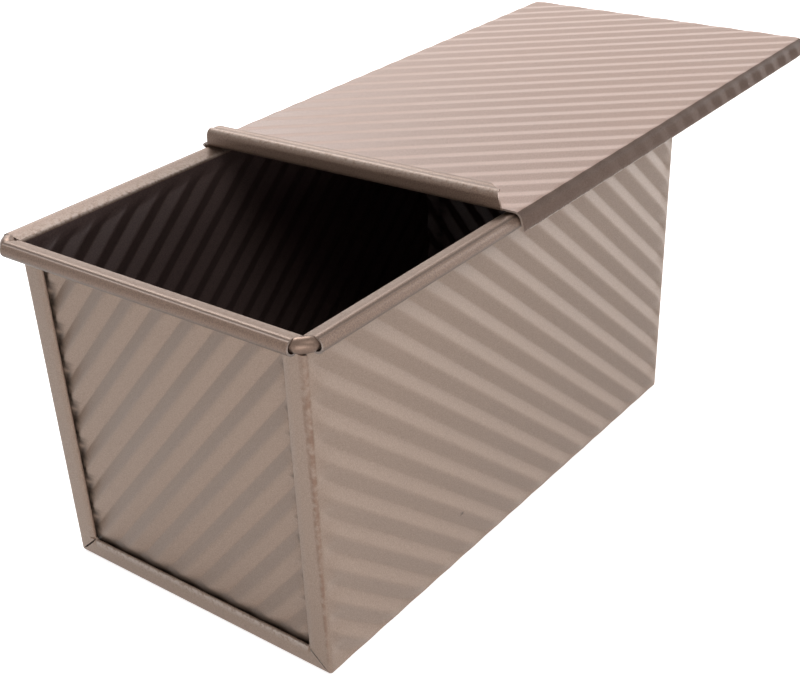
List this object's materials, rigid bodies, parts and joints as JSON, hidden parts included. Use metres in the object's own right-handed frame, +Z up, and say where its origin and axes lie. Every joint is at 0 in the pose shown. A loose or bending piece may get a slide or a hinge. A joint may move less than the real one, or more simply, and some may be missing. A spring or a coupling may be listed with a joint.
{
  "type": "lidded loaf pan",
  "caption": "Rectangular sheet-steel loaf pan with diagonal ribs, wired rolled rims and a flat ribbed lid that slides along the long rims.",
  "frame": {"origin": "middle of the pan's flat bottom, where it rests on a table", "axes": "+X along the pan towards the end where the lid slides off, +Y across the pan, +Z up"},
  "size_m": [0.2963, 0.1228, 0.1187],
  "materials": {
    "coated_steel": "satin champagne non-stick coating outside, dark charcoal coating inside",
    "bright_wire": "plain drawn wire, satin"
  },
  "bodies": {
    "pan": {"body_shell": "coated_steel", "end_panel_near": "coated_steel", "end_panel_far": "coated_steel", "rim_wire": "bright_wire"},
    "lid": {"lid": "coated_steel"}
  },
  "joints": [
    {"name": "lid_slide", "type": "slide", "parent": "pan", "child": "lid", "axis": [1, 0, 0], "range_m": [-0.089, 0.1235]}
  ]
}
